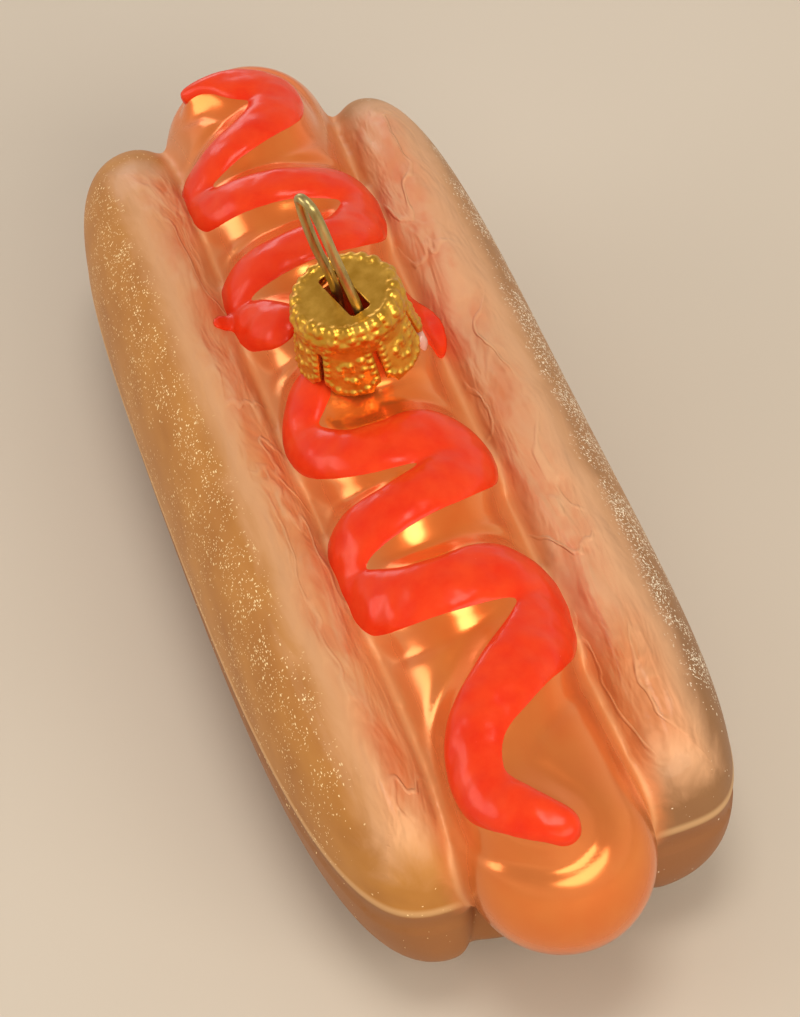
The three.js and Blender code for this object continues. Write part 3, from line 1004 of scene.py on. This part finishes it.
def glitter_group():
    """Chips of glitter, two layers of small slivers turned two ways, each either there or not."""
    group, inside, outside = new_group(
        GLITTER, "Mask",
        ("Vector", "NodeSocketVector", None), ("Chips per mm", "NodeSocketFloat", 1.0),
        ("Share", "NodeSocketFloat", 0.2))
    layers = (((0.3, 0.2, 0.5), (1000, 2600, 1800)), ((0.1, 0.5, 2.0), (2300, 1000, 1500)))
    masks = []
    for turn, stretch in layers:
        mapping = add(group, "ShaderNodeMapping", Rotation=turn, Scale=stretch)
        group.links.new(inside.outputs["Vector"], mapping.inputs["Vector"])
        cells = add(group, "ShaderNodeTexVoronoi", feature="F1")
        group.links.new(mapping.outputs["Vector"], cells.inputs["Vector"])
        group.links.new(inside.outputs["Chips per mm"], cells.inputs["Scale"])
        drawn_lot = group.nodes.new("ShaderNodeSeparateColor")
        group.links.new(cells.outputs["Color"], drawn_lot.inputs["Color"])
        there = reckon(group, "LESS_THAN", drawn_lot.outputs["Red"], inside.outputs["Share"])
        sliver = step_between(group, cells.outputs["Distance"], 0.48, 0.30)
        masks.append(times(group, there, sliver))
    group.links.new(reckon(group, "MAXIMUM", *masks), outside.inputs["Mask"])


def place_group(tree, name, coords, values):
    node = tree.nodes.new("ShaderNodeGroup")
    node.node_tree = bpy.data.node_groups[name]
    tree.links.new(coords, node.inputs["Vector"])
    for socket, value in values.items():
        if isinstance(value, (int, float, tuple)):
            node.inputs[socket].default_value = value
        else:
            tree.links.new(value, node.inputs[socket])
    return node.outputs[0]


def speckle(tree, coords, per_mm, stretch=(1, 1, 1), detail=3, roughness=0.55, wander=0.0):
    return place_group(tree, MOTTLE, coords, {
        "Stretch": stretch, "Marks per mm": per_mm, "Detail": detail, "Roughness": roughness,
        "Wander": wander})


def raise_surface(tree, shader, height):
    """Relief of the given height, in metres."""
    bump = add(tree, "ShaderNodeBump", Strength=1.0, Distance=1.0)
    tree.links.new(height, bump.inputs["Height"])
    tree.links.new(bump.outputs["Normal"], shader.inputs["Normal"])


def lacquer_colour(tree, cloud, fact, places):
    """Sausage: clear orange lacquer over silver, deeper beside the ketchup, duller at the flanks."""
    lacquer = ramp(tree, cloud, (0.30, LACQUER[0]), (0.70, LACQUER[1]))
    lacquer = tint(tree, lacquer, LACQUER_DEEP, 0.28, step_between(tree, fact["near_ketchup"], 5.0, 0.5))
    lacquer = tint(tree, lacquer, LACQUER_FLANK, 0.85, step_between(tree, fact["bun"], -7.0, -0.8))
    return tint(tree, lacquer, LACQUER_TIP, 0.6, step_between(tree, places["X"], 0.034, 0.050))


def blush_colour(tree, coords, cloud, pleats, creases, fact, places, right):
    """Inside of the bun: pinkish frosted cream, with soft red blotches, pale folds and creases, and painted
    light that makes the right half lighter.
    """
    outside = fact["outside"]
    fades = step_between(tree, outside, -4.5, -0.5)
    inner = reckon(tree, "SUBTRACT", 1.0, fades)
    blotches = speckle(tree, coords, 0.26, (0.55, 1, 1), detail=3, wander=0.3)
    rosy = step_between(tree, blotches, 0.48, 0.62)
    near_end = step_between(tree, places["X"], 0.028, 0.037)
    blush = ramp(tree, cloud, (0.32, BLUSH[0]), (0.62, BLUSH[1]))
    blush = tint(tree, blush, BLUSH_FOLD, 0.5, step_between(tree, pleats, 0.49, 0.60))
    blush = blend_colours(tree, fades, blush, BLUSH_CREST)
    # Painted light: the inside of the right half is made lighter.
    blush = tint(tree, blush, BLUSH_RIGHT_HIGHLIGHT, 0.45, right)
    blush = tint(tree, blush, BLUSH_ROSY, 0.42, rosy, inner)
    blush = tint(tree, blush, BLUSH_WARM, 0.75, near_end, right, step_between(tree, outside, 0.0, -3.5))
    return tint(tree, blush, BLUSH_CREASE, 0.30, creases, inner)


def husk_colour(tree, coords, cloud, fact, places, right):
    """Outside of the bun: frosted champagne gold, browner on the right, with painted shade on the right
    towards the near end and, mottled, in the right's glitter band, and browner painted shade low down below
    the parting line.
    """
    near_end = step_between(tree, places["X"], 0.015, 0.040)
    shade_below_rim = step_between(tree, fact["above_rim"], 0.6, -0.8)
    husk = ramp(tree, cloud, (0.3, HUSK[0]), (0.7, HUSK[1]))
    husk = tint(tree, husk, HUSK_RIGHT, 0.55, right)
    # Painted shade on the outside of the right half: towards the near end, and mottled in its glitter band.
    husk = tint(tree, husk, HUSK_SHADED, 0.9, right, near_end)
    husk = tint(tree, husk, HUSK_BAND_SHADE, 0.75, fact["glitter"], right, speckle(tree, coords, 1.1, detail=2))
    # Painted shade, browner, below the parting line.
    return tint(tree, husk, HUSK_LOW_SHADE, 0.8, shade_below_rim)


def line_and_rim_highlight_mask(tree, fact, on_bun):
    """Pale gold line on the crease, and a painted highlight in the same pale gold along the mould's parting
    line.
    """
    bun, above_rim = fact["bun"], fact["above_rim"]
    edge = times(tree, step_between(tree, bun, -0.5, 0.25), step_between(tree, bun, 1.1, 0.45))
    # Painted highlight along the parting line's bead.
    rim = times(tree, step_between(tree, above_rim, -0.5, 0.05), step_between(tree, above_rim, 0.8, 0.25))
    return reckon(tree, "MAXIMUM", times(tree, edge, 0.20), times(tree, rim, on_bun, 0.42))


def glitter_mask(tree, coords, fact):
    """Glitter in clumps: coarse chips and finer dust between them."""
    clumps = step_between(tree, speckle(tree, coords, 0.24, detail=3), 0.34, 0.64)
    share = times(tree, reckon(tree, "MULTIPLY_ADD", fact["glitter"], 0.24, 0.003), clumps)
    chips = place_group(tree, GLITTER, coords, {"Chips per mm": 2.4, "Share": share})
    dust = place_group(tree, GLITTER, coords, {"Chips per mm": 4.2, "Share": share})
    return reckon(tree, "MAXIMUM", chips, dust)


def paint_glass():
    material, tree, shader, coords = new_finish("painted_glass")
    fact = {key: add(tree, "ShaderNodeAttribute", attribute_name=key).outputs["Fac"] for key in GLASS_FACTS}
    places = split_axes(tree, coords)
    right = step_between(tree, places["Y"], -0.002, 0.002)
    cloud = speckle(tree, coords, 0.22, (0.6, 1, 1), detail=2)
    streak = speckle(tree, coords, 0.42, (0.34, 1, 0.8), detail=3, wander=0.9)
    pleats = speckle(tree, coords, 0.30, (0.34, 1, 0.8), detail=3, wander=0.35)
    crease_field = speckle(tree, coords, 0.15, (0.40, 1, 1), detail=3, roughness=0.45, wander=0.3)
    from_crease = reckon(tree, "ABSOLUTE", reckon(tree, "SUBTRACT", crease_field, 0.5))
    creases = step_between(tree, from_crease, 0.022, 0.003)
    inner = reckon(tree, "SUBTRACT", 1.0, step_between(tree, fact["outside"], -4.5, -0.5))

    # Where one paint gives way to the next, with a streaky edge.
    shell = step_between(tree, reckon(tree, "ADD", fact["outside"], about_zero(tree, streak, 2.2)), -1.3, 1.5)
    seam = reckon(tree, "ADD", fact["bun"], about_zero(tree, streak, 1.4))
    on_bun = step_between(tree, seam, -0.2, 2.6)
    satin = step_between(tree, seam, -3.2, 0.6)
    outer = times(tree, on_bun, shell)
    bare = times(tree, glitter_mask(tree, coords, fact), outer)

    lacquer = lacquer_colour(tree, cloud, fact, places)
    blush = blush_colour(tree, coords, cloud, pleats, creases, fact, places, right)
    husk = husk_colour(tree, coords, cloud, fact, places, right)
    colour = blend_colours(tree, on_bun, lacquer, blend_colours(tree, shell, blush, husk))
    # Pale gold crease line, and a painted highlight along the parting line.
    colour = blend_colours(tree, line_and_rim_highlight_mask(tree, fact, on_bun), colour, LINE_AND_HIGHLIGHT_GOLD)
    colour = blend_colours(tree, bare, colour, blend_colours(tree, right, CHIP_LEFT, CHIP_RIGHT))
    tree.links.new(colour, shader.inputs["Base Color"])

    # The lacquer is the more metallic and the smoother, the frosted paint is satin.
    metal = reckon(tree, "MULTIPLY_ADD", satin, -0.42, 0.64)
    metal = reckon(tree, "MULTIPLY_ADD", bare, -0.3, metal)
    tree.links.new(metal, shader.inputs["Metallic"])
    grain = times(tree, speckle(tree, coords, 5.5, detail=2), satin)
    rough = reckon(tree, "MULTIPLY_ADD", satin, 0.30, 0.20)
    rough = reckon(tree, "MULTIPLY_ADD", outer, 0.06, rough)
    rough = reckon(tree, "MULTIPLY_ADD", grain, 0.12, rough)
    tree.links.new(rough, shader.inputs["Roughness"])
    coat = reckon(tree, "MULTIPLY_ADD", on_bun, 0.05, 0.10)
    tree.links.new(coat, shader.inputs["Coat Weight"])
    shader.inputs["Coat Roughness"].default_value = 0.12

    # Relief on the bun's soft side alone.
    soft_side = times(
        tree, step_between(tree, fact["bun"], -0.2, 2.6), step_between(tree, fact["outside"], 1.0, -2.5))
    fold_height = times(tree, pleats, 0.0012)
    height = reckon(tree, "MULTIPLY_ADD", times(tree, creases, inner), 0.00012, fold_height)
    raise_surface(tree, shader, times(tree, height, soft_side))
    return material


def enamel_ketchup():
    material, tree, shader, coords = new_finish("ketchup_enamel")
    pools = speckle(tree, coords, 0.35, detail=3)
    colour = ramp(tree, pools, (0.3, (0.75, 0.030, 0.005)), (0.7, (0.81, 0.056, 0.010)))
    tree.links.new(colour, shader.inputs["Base Color"])
    rough = reckon(tree, "MULTIPLY_ADD", speckle(tree, coords, 1.6, detail=2), 0.16, 0.15)
    tree.links.new(rough, shader.inputs["Roughness"])
    shader.inputs["Specular Tint"].default_value = (1.0, 0.46, 0.44, 1)
    shader.inputs["Specular IOR Level"].default_value = 0.42
    raise_surface(tree, shader, times(tree, speckle(tree, coords, 0.40, detail=1), 0.00022))
    return material


def gild_cap():
    material, tree, shader, coords = new_finish("cap_gold")
    tarnish = speckle(tree, coords, 0.7, detail=4)
    colour = ramp(tree, tarnish, (0.3, (0.62, 0.31, 0.032)), (0.7, (0.82, 0.46, 0.075)))
    tree.links.new(colour, shader.inputs["Base Color"])
    shader.inputs["Metallic"].default_value = 1.0
    on_petals = step_between(tree, split_axes(tree, coords)["Z"], 0.0370, 0.0360)
    rough = reckon(tree, "MULTIPLY_ADD", tarnish, 0.25, 0.20)
    rough = reckon(tree, "MULTIPLY_ADD", on_petals, 0.08, rough)
    tree.links.new(rough, shader.inputs["Roughness"])
    raise_surface(tree, shader, times(tree, speckle(tree, coords, 1.2, detail=2), 0.00006))
    return material


def dull_wire():
    material, tree, shader, coords = new_finish("wire_brass")
    drawn = speckle(tree, coords, 1.2, (1, 1, 0.2), detail=4)
    colour = ramp(tree, drawn, (0.3, (0.32, 0.24, 0.085)), (0.7, (0.60, 0.48, 0.20)))
    tree.links.new(colour, shader.inputs["Base Color"])
    shader.inputs["Metallic"].default_value = 1.0
    rough = reckon(tree, "MULTIPLY_ADD", drawn, 0.2, 0.22)
    tree.links.new(rough, shader.inputs["Roughness"])
    raise_surface(tree, shader, times(tree, drawn, 0.00003))
    return material


def clear_glue():
    material, tree, shader, coords = new_finish("clear_glue")
    milk = speckle(tree, coords, 1.0, detail=2)
    colour = ramp(tree, milk, (0.3, (0.66, 0.30, 0.22)), (0.7, (0.74, 0.42, 0.34)))
    tree.links.new(colour, shader.inputs["Base Color"])
    rough = reckon(tree, "MULTIPLY_ADD", milk, 0.15, 0.15)
    tree.links.new(rough, shader.inputs["Roughness"])
    shader.inputs["Coat Weight"].default_value = 0.6
    raise_surface(tree, shader, times(tree, milk, 0.0001))
    return material


def pale_board():
    material, tree, shader, coords = new_finish("pale_board")
    soft = speckle(tree, coords, 0.012, detail=2)
    colour = ramp(tree, soft, (0.3, (0.60, 0.53, 0.44)), (0.7, (0.63, 0.56, 0.47)))
    tree.links.new(colour, shader.inputs["Base Color"])
    shader.inputs["Roughness"].default_value = 0.8
    return material


# Light, board and camera

def lay_board():
    let_go()
    bpy.ops.mesh.primitive_plane_add(size=3.0, location=(0, 0, 0))
    board = bpy.context.object
    board.name = board.data.name = "pale_board"
    board.data.materials.append(pale_board())


def direction_to(azimuth, elevation):
    return Vector((
        math.cos(elevation) * math.cos(azimuth),
        math.cos(elevation) * math.sin(azimuth),
        math.sin(elevation)))


def soft_light(name, azimuth, elevation, distance, size, power, colour):
    direction = direction_to(math.radians(azimuth), math.radians(elevation))
    lamp = bpy.data.lights.new(name, "AREA")
    lamp.shape = "ELLIPSE"
    lamp.size, lamp.size_y = size
    lamp.energy = power
    lamp.color = colour
    holder = bpy.data.objects.new(name, lamp)
    holder.location = direction * distance
    holder.rotation_euler = (-direction).to_track_quat("-Z", "Y").to_euler()
    bpy.context.scene.collection.objects.link(holder)


def light_room():
    """A pale room, warm from the board and greyer above, and four soft lamps."""
    world = bpy.data.worlds.new("pale_room")
    world.use_nodes = True
    tree = world.node_tree
    background = tree.nodes["Background"]
    direction = tree.nodes.new("ShaderNodeTexCoord").outputs["Generated"]
    height = step_between(tree, split_axes(tree, direction)["Z"], -0.2, 1.0)
    colour = ramp(tree, height, *ROOM_COLOURS)
    tree.links.new(colour, background.inputs["Color"])
    background.inputs["Strength"].default_value = ROOM_STRENGTH
    bpy.context.scene.world = world
    for lamp in LAMPS:
        soft_light(*lamp)


def set_camera():
    elevation, azimuth, roll = (math.radians(a) for a in (CAMERA_ELEVATION, CAMERA_AZIMUTH, CAMERA_ROLL))
    back = direction_to(azimuth, elevation)
    level = (-back).cross(Vector((0, 0, 1))).normalized()
    upright = level.cross(-back)
    right = math.cos(roll) * level + math.sin(roll) * upright
    up = -math.sin(roll) * level + math.cos(roll) * upright
    camera = bpy.data.cameras.new("view")
    camera.sensor_width = SENSOR_MM
    camera.sensor_fit = "AUTO"
    camera.lens = FOCAL_LENGTH_PX * SENSOR_MM / PHOTO_HEIGHT_PX
    camera.clip_start = 0.01
    holder = bpy.data.objects.new("view", camera)
    turn = Matrix((right, up, back)).transposed().to_4x4()
    holder.matrix_world = Matrix.Translation(CAMERA_TARGET + back * CAMERA_DISTANCE) @ turn
    bpy.context.scene.collection.objects.link(holder)
    bpy.context.scene.camera = holder


def hand_over(piece, material, slot, *stands_for):
    piece.data.materials.clear()
    piece.data.materials.append(material)
    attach(piece, "root")
    if stands_for:
        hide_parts(*stands_for)


mottle_group()
glitter_group()
set_camera()
light_room()
lay_board()
bpy.context.scene.view_settings.view_transform = "Standard"

glass, skin = blow_glass_body()
hand_over(glass, paint_glass(), "painted_glass", "glass_body")
hand_over(pour_ketchup(skin), enamel_ketchup(), "ketchup_enamel")
hand_over(stamp_cap(), gild_cap(), "cap_gold", "cap")
hand_over(bend_wire(), dull_wire(), "wire_brass", "wire_hanger")
hand_over(drop_of_glue(), clear_glue(), "painted_glass")
